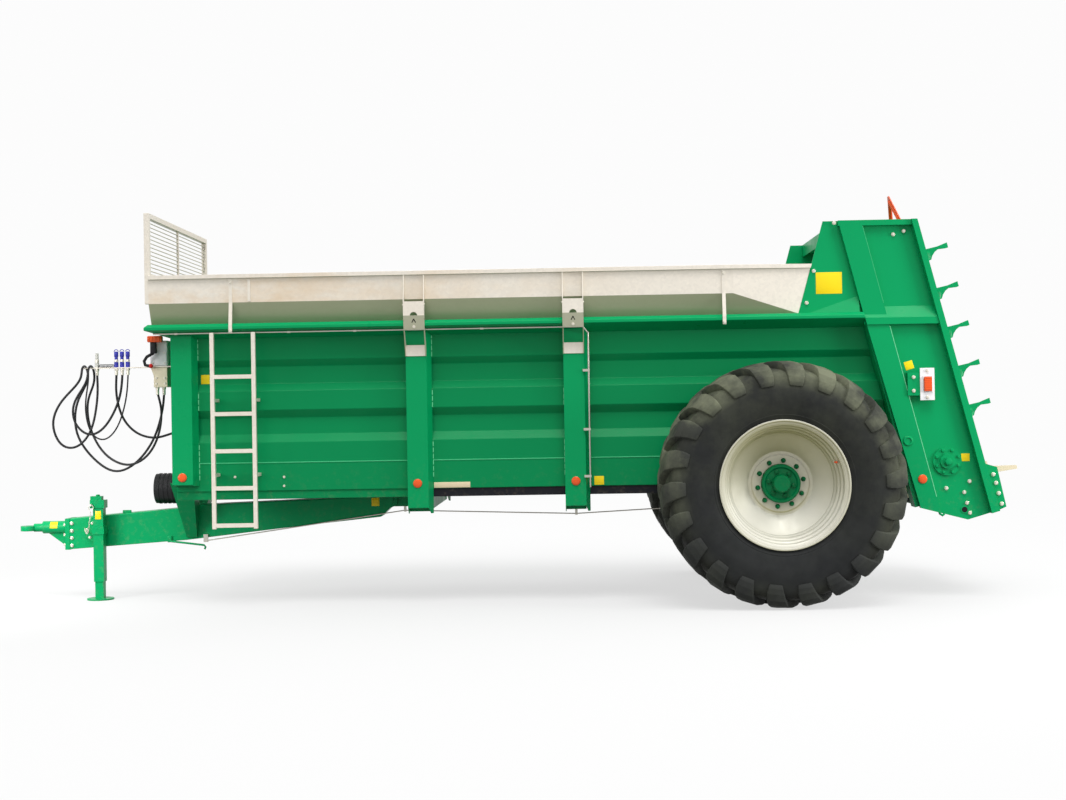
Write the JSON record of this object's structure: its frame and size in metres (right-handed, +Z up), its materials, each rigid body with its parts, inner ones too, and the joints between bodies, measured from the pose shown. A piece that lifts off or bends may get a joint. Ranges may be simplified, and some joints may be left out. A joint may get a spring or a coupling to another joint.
{
  "type": "manure spreader",
  "caption": "Towed rear-discharge manure spreader: narrow green tub on one axle with a floor conveyor, extension boards, leaning upright beaters with spreading discs, drawbar and jack.",
  "frame": {"origin": "on the ground below the middle of the machine's length and width", "axes": "+X forward to the towing eye, +Y to the left, +Z up"},
  "size_m": [7.88, 3, 3.1062],
  "materials": {
    "green": "gloss paint",
    "chassis_green": "gloss paint in shade, dusty",
    "black_steel": "satin black paint",
    "worn_steel": "scuffed bare steel",
    "black_plastic": "ribbed matt plastic",
    "galvanised": "hot-dip galvanised, spangled",
    "bare_steel": "zinc plated, dull",
    "cream_paint": "satin paint",
    "marker_orange": "reflecting film",
    "white_plastic": "smooth",
    "orange_lens": "moulded lens",
    "valve_metal": "machined",
    "blue_plastic": "smooth",
    "hose_rubber": "matt",
    "tyre": "matt, brown dust between the lugs",
    "rim_silver": "silver paint"
  },
  "bodies": {
    "chassis": {"cross_members": "chassis_green", "drawbar_hanger": "chassis_green", "drawbar": "green", "drawbar_pivot": "green", "towing_eye": "green", "front_wall": "green", "side_wall_left": "green", "side_wall_right": "green", "posts": "green", "top_rail": "green", "rear_side_left": "green", "rear_side_right": "green", "rear_top_beam": "green", "gear_beam": "green", "jack_tube": "green", "axle": "black_steel", "driveline": "black_steel", "sills": "black_steel", "floor": "worn_steel", "conveyor": "worn_steel", "stub_guard": "black_plastic", "board_left": "galvanised", "board_right": "galvanised", "board_front": "galvanised", "board_brackets": "galvanised", "guard": "galvanised", "ladder": "galvanised", "hose_rack": "galvanised", "brake_pipe": "bare_steel", "brake_cable": "bare_steel", "marker": "marker_orange", "lamp_boards": "white_plastic", "control_box": "white_plastic", "lamps": "orange_lens", "valve_block": "valve_metal", "couplings": "blue_plastic", "hose_1": "hose_rubber", "hose_2": "hose_rubber", "hose_3": "hose_rubber", "hose_4": "hose_rubber"},
    "wheel_left": {"tyre_left": "tyre", "rim_left": "rim_silver", "hub_left": "green"},
    "wheel_right": {"tyre_right": "tyre", "rim_right": "rim_silver", "hub_right": "green"},
    "jack": {"jack_leg": "green"},
    "beater_left": {"beater_left_core": "green", "beater_left_flights": "green", "beater_left_blades": "cream_paint"},
    "beater_right": {"beater_right_core": "green", "beater_right_flights": "green", "beater_right_blades": "cream_paint"}
  },
  "joints": [
    {"name": "wheel_left_spin", "type": "hinge", "parent": "chassis", "child": "wheel_left", "pos_m": [-2.035, 1.18, 0.888], "axis": [0, 1, 0], "continuous": true},
    {"name": "wheel_right_spin", "type": "hinge", "parent": "chassis", "child": "wheel_right", "pos_m": [-2.035, -1.18, 0.888], "axis": [0, 1, 0], "continuous": true},
    {"name": "jack_slide", "type": "slide", "parent": "chassis", "child": "jack", "axis": [0, 0, 1], "range_m": [0, 0.12]},
    {"name": "beater_left_spin", "type": "hinge", "parent": "chassis", "child": "beater_left", "pos_m": [-3.56788, 0.445, 0.623], "axis": [0.2453, 0, 0.9694], "continuous": true},
    {"name": "beater_right_spin", "type": "hinge", "parent": "chassis", "child": "beater_right", "pos_m": [-3.56788, -0.445, 0.623], "axis": [0.2453, 0, 0.9694], "continuous": true}
  ],
  "couplings": [
    {"joint": "beater_right_spin", "follows": "beater_left_spin", "ratio": -1}
  ]
}
